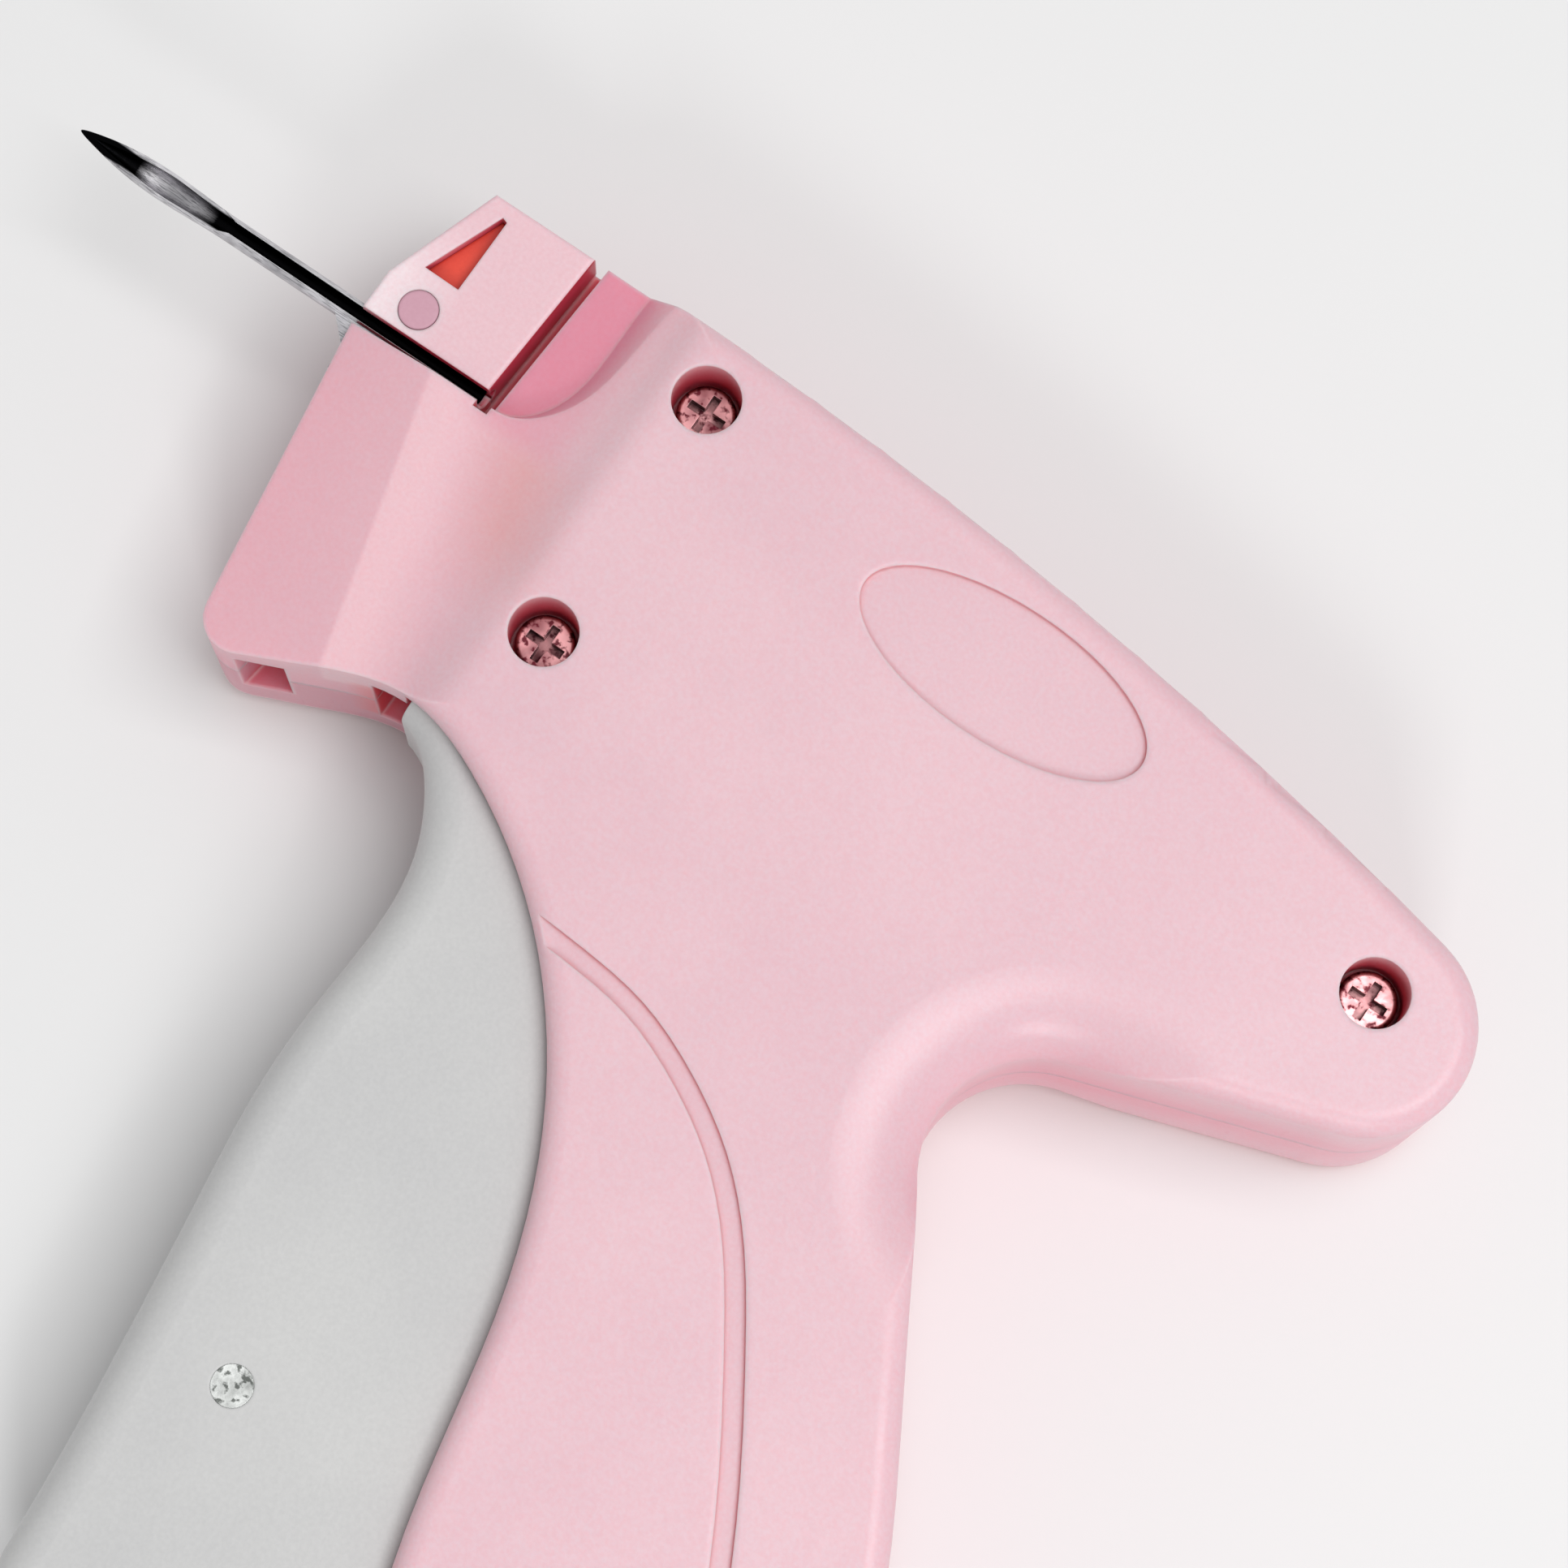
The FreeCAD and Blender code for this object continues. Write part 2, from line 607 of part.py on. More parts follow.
def left_shell():
    """Left half: seats of nose block, needle and screws, the scoop and the label recess."""
    body = cut_all(rounded_half(), left_nose_cutter())
    body = cut_all(body, block_seat(), scoop())
    label = Part.Ellipse(at(LABEL_X, LABEL_Y), LABEL_A, LABEL_B).toShape()
    body = cut_all(body, grip_groove(), prism([label], HALF_W - LABEL_DEPTH, HALF_W + 1))
    shell = hollowed(body)
    cutters = [
        needle_way(), foot_pocket(), feed_slot(), knife_box(SEAT),
        rod(NEEDLE_END_X, 28, 0, NEEDLE_Z, ROD_R + 0.1),
        disc(at(LOCK_X, LOCK_Y), LOCK_SHAFT_R + FIT, -1, HALF_W),
    ]
    seat_z = HALF_W - RECESS_DEPTH - SCREW_HEAD_H
    for x, y in SCREWS:
        cutters.append(disc(at(x, y), RECESS_R, seat_z, HALF_W + 1))
        cutters.append(disc(at(x, y), SCREW_HOLE_R, -1, HALF_W))
    post = disc(SPRING_POST, SPRING_POST_R, spring_top_z() - 1, HALF_W - WALL + 0.5)
    return fuse_all(cut_all(shell, *cutters), post)


def right_shell():
    """Far half, with the screws' blind holes."""
    body = cut_all(rounded_half(), right_nose_cutter(), grip_groove())
    shell = hollowed(body)
    cutters = [disc(at(LOCK_X, LOCK_Y), LOCK_SHAFT_R + FIT, -1, HALF_W),
               flipped(knife_box(SEAT))]
    for x, y in SCREWS:
        cutters.append(disc(at(x, y), SCREW_SHANK_R + SEAT, -1, -SCREW_END_Z + 0.4))
    return flipped(cut_all(shell, *cutters))


def nose_block():
    block = polygon(block_outline(), BLOCK_BASE_Z, BLOCK_FACE_Z)
    rim = [e for e in block.Edges if e.BoundBox.ZMin > BLOCK_FACE_Z - 0.01
           and e.BoundBox.YMax > SLOT_TOP + 0.1]
    block = block.makeFillet(BLOCK_EDGE_R, rim)
    lock = at(LOCK_X, LOCK_Y)
    return cut_all(
        block,
        rod(-5, NEEDLE_END_X + 5, 0, NEEDLE_Z, NEEDLE_R + SEAT),
        disc(lock, LOCK_SHAFT_R + FIT, 0, BLOCK_FACE_Z),
        disc(lock, LOCK_DISC_R + FIT, BLOCK_FACE_Z - LOCK_DISC_T, BLOCK_FACE_Z + 1),
        window(0, BLOCK_FACE_Z - WINDOW_DEPTH - INSERT_T, BLOCK_FACE_Z + 1),
        box(-5, FEED_X - 0.8, 0, SLOT_TOP + 0.3, NEEDLE_Z - 2, NEEDLE_Z),
    )


def window(shrink, z0, z1):
    """Three-sided window of the nose block, with its narrow top cut off."""
    s = shrink
    return polygon([(3.9 + 1.6 * s, 6.45 + s), (7.5 - s, 6.4 + s), (7.5 - s, 13.9 - s),
                    (6.95 + s, 14.1 - 2 * s)], z0, z1)


def window_insert():
    top = BLOCK_FACE_Z - WINDOW_DEPTH
    return window(SEAT, top - INSERT_T + SEAT, top)


# ---- needle, foot, lock and knife -------------------------------------------------------
def needle():
    """Slotted tube that opens into a pointed spoon."""
    spoon_mid = NEEDLE_TIP_X + 9.0
    outer = [at(SPOON_X, NEEDLE_R), at(spoon_mid, SPOON_R), at(NEEDLE_TIP_X + 4.0, 0.95),
             at(NEEDLE_TIP_X, 0.12)]
    inner = [at(SPOON_X, NEEDLE_BORE_R), at(spoon_mid, SPOON_R - 0.32),
             at(NEEDLE_TIP_X + 4.5, 0.55), at(NEEDLE_TIP_X + 1.6, 0.0)]
    solids = []
    for points, radius, tip in ((outer, NEEDLE_R, NEEDLE_TIP_X), (inner, NEEDLE_BORE_R, None)):
        end_x = NEEDLE_END_X if tip is not None else NEEDLE_END_X + 1
        loop = [line(at(end_x, 0), at(end_x, radius)), line(at(end_x, radius), points[0]),
                spline(points, V(-4, 0, 0), points[-1] - points[-2])]
        if points[-1].y > 0:
            loop.append(line(points[-1], at(points[-1].x, 0)))
        loop.append(line(at(points[-1].x, 0), at(end_x, 0)))
        face = Part.Face(Part.Wire(Part.__sortEdges__(loop)))
        solids.append(face.revolve(V(0, 0, 0), X_AXIS, 360))
    tube = solids[0].cut(solids[1])
    half = NEEDLE_SLOT_W / 2
    slot = box(SPOON_X - 3, NEEDLE_END_X + 1, -half, half, 0, 3)
    flare = [at(SPOON_X, half), at(SPOON_X - 4, SPOON_R + 0.4), at(NEEDLE_TIP_X - 1, SPOON_R + 0.4),
             at(NEEDLE_TIP_X - 1, -SPOON_R - 0.4), at(SPOON_X - 4, -SPOON_R - 0.4),
             at(SPOON_X, -half)]
    mouth = polygon([(p.x, p.y) for p in flare], 0.35, 3)
    ramp = Part.Face(Part.makePolygon([
        at(NEEDLE_TIP_X - 1, -3, -0.35), at(NEEDLE_TIP_X + 6, -3, 0.4), at(NEEDLE_TIP_X + 6, -3, 3),
        at(NEEDLE_TIP_X - 1, -3, 3), at(NEEDLE_TIP_X - 1, -3, -0.35),
    ])).extrude(V(0, 6, 0))
    piece = tube.cut([slot, mouth, ramp])
    piece.translate(V(0, 0, NEEDLE_Z))
    return piece


def needle_base():
    """Steel foot that the needle is set in; its slanted front stands out of the nose."""
    front = NOSE_X - FOOT_FRONT
    plate = polygon([(front, -0.5 - SEAT), (front, -1.0), (NOSE_X + 0.4, -3.5),
                     (NOSE_X + 0.4, FOOT_Y), (FOOT_X1, FOOT_Y), (FOOT_X1, -0.5 - SEAT)],
                    NEEDLE_Z - FOOT_T / 2, NEEDLE_Z + FOOT_T / 2)
    return plate.cut(rod(-10, NEEDLE_END_X, 0, NEEDLE_Z, NEEDLE_R + 0.005))


def needle_lock_lever():
    """Shaft with a flush disc on the left and a thumb arm on the right."""
    lock = at(LOCK_X, LOCK_Y)
    arm_z = -RIGHT_NOSE_Z - GAP
    end = lock + heading(6) * LOCK_ARM_L
    arm = fuse_all(capsule(lock, end, LOCK_ARM_R, arm_z - LOCK_ARM_T, arm_z),
                   disc(end, LOCK_ARM_R + 0.6, arm_z - LOCK_ARM_T, arm_z))
    return fuse_all(arm, disc(lock, LOCK_SHAFT_R, arm_z, BLOCK_FACE_Z - LOCK_DISC_T),
                    disc(lock, LOCK_DISC_R, BLOCK_FACE_Z - LOCK_DISC_T + SEAT, BLOCK_FACE_Z + 0.05),
                    disc(lock, LOCK_SHAFT_R, BLOCK_FACE_Z - LOCK_DISC_T - 1, BLOCK_FACE_Z))


def knife():
    blade = knife_box()
    edges = [e for e in blade.Edges
             if e.BoundBox.ZMin > KNIFE_TOP_Z - 0.01 and e.BoundBox.YLength > 1]
    return blade.makeChamfer(KNIFE_T * 0.45, edges[:1])


# ---- trigger and linkage --------------------------------------------------------------
TRIGGER_FRONT = [
    at(25.5, -27.9), at(28.4, -29.3), at(31.0, -32.3), at(33.4, -37.4), at(34.2, -44.0),
    at(33.8, -52.5), at(33.9, -61.0), at(35.2, -71.5),
    at(37.2, HINGE.y - TRIGGER_REACH + SHIN_UP), at(39.1, HINGE.y - TRIGGER_REACH + TOE_UP),
]


def trigger_outline():
    """Side outline of the trigger, as a closed loop of edges."""
    front = spline(TRIGGER_FRONT)
    down = front.tangentAt(front.LastParameter)
    sole_way = heading(8)
    reach = TRIGGER_CORNER_R * tan(down.getAngle(sole_way) / 2)
    corner = rounded_corner(TRIGGER_FRONT[-1] + down * reach, down, sole_way, TRIGGER_CORNER_R)
    rear_x = FRONT_EDGE[-1].x + TRIGGER_TUCK + 4.6
    rear_low = at(rear_x, HINGE.y - (TRIGGER_REACH ** 2 - (rear_x - HINGE.x) ** 2) ** 0.5)
    start_angle = atan2(corner[2].y - HINGE.y, corner[2].x - HINGE.x) + 0.06
    end_angle = atan2(rear_low.y - HINGE.y, rear_low.x - HINGE.x)
    on_arc = polar(HINGE, TRIGGER_REACH, start_angle)
    sole_middle = polar(HINGE, TRIGGER_REACH, (start_angle + end_angle) / 2)
    rear = [p for p in shifted(FRONT_EDGE[4:], TRIGGER_TUCK, 0.6) if p.y > rear_low.y + 2]
    eye_right = polar(HINGE, EYE_R, radians(-10))
    eye_left = polar(HINGE, EYE_R, radians(160))
    return [
        front,
        arc(*corner),
        line(corner[2], on_arc),
        arc(on_arc, sole_middle, rear_low),
        spline([rear_low] + rear[::-1] + [at(HINGE.x + 7, HINGE.y - 4.5), eye_right]),
        arc(eye_right, polar(HINGE, EYE_R, radians(75)), eye_left),
        line(eye_left, TRIGGER_FRONT[0]),
    ]


def trigger_hollow():
    """Room between the trigger's side walls, behind its front wall and above its sole."""
    wall = beside(TRIGGER_FRONT[2:], TRIGGER_WALL)
    below = HINGE.y - TRIGGER_REACH - 1.5
    low = at(wall[-1].x + 1, below)
    back = 2.5 * FAR
    loop = [
        spline(wall + [low]), line(low, at(back, below)), line(at(back, below), at(back, 0)),
        line(at(back, 0), wall[0]),
    ]
    half = TRIGGER_HALF_W - TRIGGER_WALL
    above_sole = disc(HINGE, TRIGGER_REACH - TRIGGER_WALL, -half, half)
    link_way = box(LINK_PIN.x + 10, 3 * FAR, -3 * FAR, LINK_PIN.y - 2, -half, half)
    return prism(loop, -half, half).common(above_sole.fuse(link_way))


def trigger():
    """Channel-shaped squeeze trigger, open to the rear."""
    body = prism(trigger_outline(), -TRIGGER_HALF_W, TRIGGER_HALF_W)
    edges = []
    for e in body.Edges:
        level = abs(abs(e.BoundBox.ZMin) - TRIGGER_HALF_W) < 0.01 and e.BoundBox.ZLength < 0.01
        middle = e.valueAt((e.FirstParameter + e.LastParameter) / 2)
        on_front = middle.x < 42 and middle.y < -30
        if level and on_front:
            edges.append(e)
    body = body.makeFillet(TRIGGER_EDGE_R, edges)
    return cut_all(body, trigger_hollow(),
                   disc(HINGE, HINGE_PIN_R + FIT, -HALF_W, HALF_W),
                   disc(LINK_PIN, LINK_PIN_R + SEAT / 2, -HALF_W, HALF_W))


def trigger_hinge_pin():
    end = HALF_W - HINGE_SKIN - PIN_END_PLAY
    return disc(HINGE, HINGE_PIN_R, -end, end)


def trigger_link_pin():
    return disc(LINK_PIN, LINK_PIN_R, -TRIGGER_HALF_W, TRIGGER_HALF_W)


def trigger_link():
    """Two plates on a common hub, one each side of the lever."""
    hub_z = TRIGGER_HALF_W - TRIGGER_WALL - GAP
    z0 = LEVER_T / 2 + GAP
    plate = capsule(LINK_PIN, LEVER_PIN, LINK_PLATE_R, z0, z0 + LINK_PLATE_T)
    hub = disc(LINK_PIN, LINK_HUB_R, -hub_z, hub_z)
    return cut_all(
        fuse_all(hub, plate, flipped(plate)),
        disc(LINK_PIN, LINK_PIN_R + FIT, -HALF_W, HALF_W),
        disc(LEVER_PIN, LEVER_PIN_R + OPEN_PIVOT_PLAY, -HALF_W, HALF_W),
    )


def link_lever_pin():
    """Pin through the lever, with a thin head outside each link plate."""
    plate_z = LEVER_T / 2 + GAP + LINK_PLATE_T
    head = disc(LEVER_PIN, LEVER_PIN_R + 1.1, plate_z + GAP, plate_z + GAP + 0.7)
    shank = disc(LEVER_PIN, LEVER_PIN_R, -plate_z - GAP - 0.1, plate_z + GAP + 0.1)
    return fuse_all(shank, head, flipped(head))


def drive_height():
    return -FULCRUM.y


def slot_ends():
    """Nearest and farthest place of the drive pin in the lever's slot, from the fulcrum."""
    lean = max(LEVER_BACK_DEG, LEVER_SWING_DEG - LEVER_BACK_DEG)
    return drive_height(), drive_height() / cos(radians(lean))


def lever_arm_line():
    """Middle line of the lever's upper arm: bent forward, to pass round the crotch."""
    near, far = slot_ends()
    return [FULCRUM] + LEVER_BEND + [FULCRUM + heading(90 - LEVER_BACK_DEG) * far]


def swing_lever():
    """First-class lever: link below the fulcrum, slotted end above it."""
    near, far = slot_ends()
    half = LEVER_T / 2
    middle = lever_arm_line()
    left = beside(middle, LEVER_ARM_R)
    right = beside(middle, -LEVER_ARM_R)
    arm = prism([spline(left), line(left[-1], right[-1]), spline(right), line(right[0], left[0])],
                -half, half)
    body = fuse_all(
        arm,
        disc(middle[-1], LEVER_ARM_R + 0.4, -half, half),
        capsule(FULCRUM, LEVER_PIN, LEVER_ARM_R, -half, half),
        disc(FULCRUM, LEVER_ARM_R + 2.0, -half, half),
    )
    slot_start = FULCRUM + heading(90 - LEVER_BACK_DEG) * near
    return cut_all(body,
                   capsule(slot_start, middle[-1], DRIVE_PIN_R + OPEN_PIVOT_PLAY, -half - 1, half + 1),
                   disc(FULCRUM, FULCRUM_PIN_R + FIT, -HALF_W, HALF_W),
                   disc(LEVER_PIN, LEVER_PIN_R + SEAT / 2, -HALF_W, HALF_W))


def lever_pivot_pin():
    end = HALF_W - FULCRUM_SKIN - 2 * PIN_END_PLAY
    return disc(FULCRUM, FULCRUM_PIN_R, -end, end)


# ---- ejector slide and rod ---------------------------------------------------------------
def drive_pin_x():
    return FULCRUM.x + drive_height() * tan(radians(LEVER_BACK_DEG))


def slide_rear_x():
    return drive_pin_x() + SLIDE_PIN_BACK


def slide_front_x():
    return drive_pin_x() - SLIDE_FORK - SLIDE_NOSE


def ejector_slide():
    """Fork that runs between the rails: the lever's slotted end stands in the fork."""
    front, rear = slide_front_x(), slide_rear_x()
    half_h = SLIDE_H / 2
    half_w = HALF_W - WALL - GAP
    block = box(front, rear, -half_h, half_h, -half_w, half_w)
    half_slot = LEVER_T / 2 + GAP
    fork = box(front + SLIDE_NOSE, rear + 1, -half_h - 1, half_h + 1, -half_slot, half_slot)
    relief = half_w - RAIL_H + GAP
    waist = box(front - 1, rear + 1, half_h - 0.6, half_h + 1, -relief, relief)
    return cut_all(block, fork, waist,
                   rod(front - 1, front + SLIDE_NOSE, 0, NEEDLE_Z, ROD_R + SEAT),
                   disc(at(drive_pin_x(), 0), DRIVE_PIN_R + SEAT / 2, -HALF_W, HALF_W))


def slide_drive_pin():
    half = HALF_W - WALL - GAP
    return disc(at(drive_pin_x(), 0), DRIVE_PIN_R, -half + 0.3, half - 0.3)


def push_rod():
    end = slide_front_x() + SLIDE_NOSE
    body = rod(ROD_TIP_X, end, 0, NEEDLE_Z, ROD_R)
    return body.makeChamfer(0.15, [e for e in body.Edges if e.BoundBox.XMax < ROD_TIP_X + 0.01])


def slide_bumper():
    x0 = slide_rear_x() + 0.1
    half = SLIDE_H / 2 - 0.1
    return box(x0, x0 + BUMPER_T, -half, half, -HALF_W + WALL + 0.2, -LEVER_T / 2)


# ---- feed wheel and pawl -------------------------------------------------------------------
def feed_wheel():
    """Ratchet wheel on a long hub."""
    centre = at(WHEEL_X, WHEEL_Y)
    points = []
    for i in range(WHEEL_TEETH):
        base = 2 * pi * i / WHEEL_TEETH
        points.append(polar(centre, WHEEL_R, base))
        points.append(polar(centre, WHEEL_R - WHEEL_TOOTH_H, base + 0.05))
    ring = polygon([(p.x, p.y) for p in points], WHEEL_Z0, WHEEL_Z1)
    hub_z = FEED_BOX_Z - GAP
    return fuse_all(ring, disc(centre, WHEEL_HUB_R, -hub_z, hub_z)).cut(
        disc(centre, WHEEL_AXLE_R + FIT, -HALF_W, HALF_W))


def feed_wheel_axle():
    end = FEED_BOX_Z + AXLE_SEAT - PIN_END_PLAY
    return disc(at(WHEEL_X, WHEEL_Y), WHEEL_AXLE_R, -end, end)


def feed_pawl():
    pivot = at(PAWL_X, PAWL_Y)
    hub_z = FEED_BOX_Z - GAP
    arm = capsule(pivot, at(PAWL_TIP_X, PAWL_TIP_Y), 0.9, WHEEL_Z0, WHEEL_Z1)
    return fuse_all(arm, disc(pivot, 1.9, -hub_z, hub_z)).cut(
        disc(pivot, PAWL_PIN_R + FIT, -HALF_W, HALF_W))


def pawl_pin():
    end = FEED_BOX_Z + AXLE_SEAT - PIN_END_PLAY
    return disc(at(PAWL_X, PAWL_Y), PAWL_PIN_R, -end, end)


# ---- screws and spring ---------------------------------------------------------------------
def housing_screws():
    """Cross-head screws, one in each recess of the left shell."""
    top = HALF_W - RECESS_DEPTH
    screws = []
    for x, y in SCREWS:
        place = at(x, y)
        head = disc(place, SCREW_HEAD_R, top - SCREW_HEAD_H, top)
        head = head.makeFillet(0.5, [e for e in head.Edges if e.BoundBox.ZMin > top - 0.01])
        shank = disc(place, SCREW_SHANK_R, SCREW_END_Z, top - SCREW_HEAD_H + 0.5)
        arms = []
        for length, width in ((CROSS_L, CROSS_W), (CROSS_W, CROSS_L)):
            arms.append(box(x - length / 2, x + length / 2, y - width / 2, y + width / 2,
                            top - CROSS_DEPTH, top + 1))
        screws.append(fuse_all(head, shank).cut(arms))
    return Part.makeCompound(screws)


def coil_radius():
    return FULCRUM_BOSS_R + GAP + SPRING_WIRE_R


def spring_base_z():
    return LEVER_T / 2 + GAP + SPRING_WIRE_R + 0.1


def spring_top_z():
    """Height of the spring's fixed leg."""
    return spring_base_z() + (SPRING_COILS - 1) * SPRING_PITCH


def tangent_angle(point, side):
    """Where the line from a point touches the coil, as an angle round the fulcrum."""
    span = point - FULCRUM
    return atan2(span.y, span.x) + side * acos(coil_radius() / span.Length)


def coil_side(side):
    """One side of the coil's section: the touching turns of wire, each as three flats."""
    radius = coil_radius()
    flat = SPRING_WIRE_R * tan(pi / 8)
    points = []
    for i in range(SPRING_COILS):
        z = spring_base_z() + i * SPRING_PITCH
        points.append(V(radius + side * flat, 0, z - SPRING_PITCH / 2))
        points.append(V(radius + side * SPRING_WIRE_R, 0, z - flat))
        points.append(V(radius + side * SPRING_WIRE_R, 0, z + flat))
    points.append(V(radius + side * flat, 0, spring_top_z() + SPRING_PITCH / 2))
    return points


def spring_coil():
    section = Part.Face(Part.makePolygon(coil_side(1) + coil_side(-1)[::-1] + coil_side(1)[:1]))
    return section.revolve(V(0, 0, 0), Z_AXIS, 360).translated(FULCRUM)


def spring_leg(angle, end, z):
    """Straight leg that leaves the coil at an angle round the fulcrum."""
    start = polar(FULCRUM, coil_radius(), angle) + V(0, 0, z)
    way = (end + V(0, 0, z) - start).normalize()
    return Part.makeCylinder(SPRING_LEG_R, (end + V(0, 0, z) - start).Length, start, way)


def return_spring():
    """Close-wound torsion spring round the fulcrum boss: one leg on the lever, one on a post."""
    beside_arm = beside(lever_arm_line(), LEVER_ARM_R + 2 * GAP + SPRING_WIRE_R)
    lever_end = (beside_arm[1] + beside_arm[2]) / 2
    post_end = SPRING_POST + V(SPRING_POST_R + SPRING_WIRE_R + SEAT, 1.5, 0)
    z0 = spring_base_z()
    spring = spring_coil()
    spring = spring.fuse(spring_leg(tangent_angle(lever_end, 1), lever_end, z0))
    spring = spring.fuse(spring_leg(tangent_angle(post_end, -1), post_end, spring_top_z()))
    hook = disc(lever_end, SPRING_WIRE_R, -LEVER_T / 2 + 0.3, z0 + SPRING_WIRE_R + 0.1)
    return spring.fuse(hook)


PIECES = {
    "left_shell": left_shell,
    "right_shell": right_shell,
    "nose_block": nose_block,
    "window_insert": window_insert,
    "needle": needle,
    "needle_base": needle_base,
    "needle_lock_lever": needle_lock_lever,
    "knife": knife,
    "trigger": trigger,
    "trigger_hinge_pin": trigger_hinge_pin,
    "trigger_link_pin": trigger_link_pin,
    "trigger_link": trigger_link,
    "link_lever_pin": link_lever_pin,
    "swing_lever": swing_lever,
    "lever_pivot_pin": lever_pivot_pin,
    "return_spring": return_spring,
    "ejector_slide": ejector_slide,
    "slide_drive_pin": slide_drive_pin,
    "push_rod": push_rod,
    "slide_bumper": slide_bumper,
    "feed_wheel": feed_wheel,
    "feed_wheel_axle": feed_wheel_axle,
    "feed_pawl": feed_pawl,
    "pawl_pin": pawl_pin,
    "housing_screws": housing_screws,
}


def main():
    os.makedirs("parts", exist_ok=True)
    for name, build in PIECES.items():
        shape = build()
        shape.translate(V(-X_MID, -Y_MID, HALF_W))
        shape.exportStep(f"parts/{name}.step")
        print(name, shape.isValid(), len(shape.Solids), round(shape.Volume, 1))


main()
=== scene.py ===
from math import cos, radians, sin

import bpy
from mathutils import Matrix, Vector

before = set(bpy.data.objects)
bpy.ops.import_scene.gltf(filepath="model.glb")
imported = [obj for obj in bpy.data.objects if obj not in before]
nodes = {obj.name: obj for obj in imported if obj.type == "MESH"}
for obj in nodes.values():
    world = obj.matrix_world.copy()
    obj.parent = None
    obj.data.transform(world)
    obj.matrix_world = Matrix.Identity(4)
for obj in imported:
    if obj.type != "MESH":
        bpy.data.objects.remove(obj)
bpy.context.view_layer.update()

# The row frame's place of the gun's own axes, in millimetres: x back along the needle from the
# nose, y up, z from the parting plane to the left side.
X_MID, Y_MID, HALF_W = 44.743, -46.799, 12.0
NEEDLE_Z = 5.0           # the needle's axis
CREASE_LEAN = 0.27       # how far the cheek's crease goes back for each mm down
SLOT_LEAN = -0.055       # the same for the feed slot
BORE_R = 0.85            # a little more than the needle's bore


def gun(x, y, z=0.0):
    """Point in metres in the row frame, from the gun's own axes."""
    return Vector((x - X_MID, y - Y_MID, z + HALF_W)) / 1000


def colour(code):
    """Linear RGBA from a hexadecimal sRGB code."""
    parts = [int(code[i:i + 2], 16) / 255 for i in (1, 3, 5)]
    linear = [c / 12.92 if c <= 0.04045 else ((c + 0.055) / 1.055) ** 2.4 for c in parts]
    return (*linear, 1.0)


# ---- materials --------------------------------------------------------------------
ALONG_X, ALONG_Y, ALONG_Z = (1.0, 0.0, 0.0), (0.0, 1.0, 0.0), (0.0, 0.0, 1.0)
ALONG_CREASE = (1.0, CREASE_LEAN, 0.0)     # across the cheek's crease
ALONG_SLOT = (1.0, SLOT_LEAN, 0.0)         # across the feed slot

# noise scales, in features per metre
CLOUDS, WAVES, RUBBING, STAINS, SCRATCHES, DUST = 38, 60, 75, 240, 260, 900
MOULD_GRAIN, RUBBER_GRAIN, SPECKS = 1900, 1500, 2600

# lengths in metres
PLASTIC_EDGE, HOUSING_EDGE, STEEL_EDGE = 0.00035, 0.0006, 0.00008
PLASTIC_CREVICE, STEEL_CREVICE = 0.006, 0.0014
GRAIN_DEPTH, WAVE_DEPTH, TOOL_MARK_DEPTH, RUBBER_DEPTH = 0.00012, 0.0006, 0.00008, 0.0001
LIGHT_DEPTH = 0.0022     # how deep light goes into the translucent plastic

# heights over the parting plane, in millimetres, between which the painted shade on sunk faces grows
# stronger
FLUSH_Z, DEEPEST_Z = 11.6, 2.0


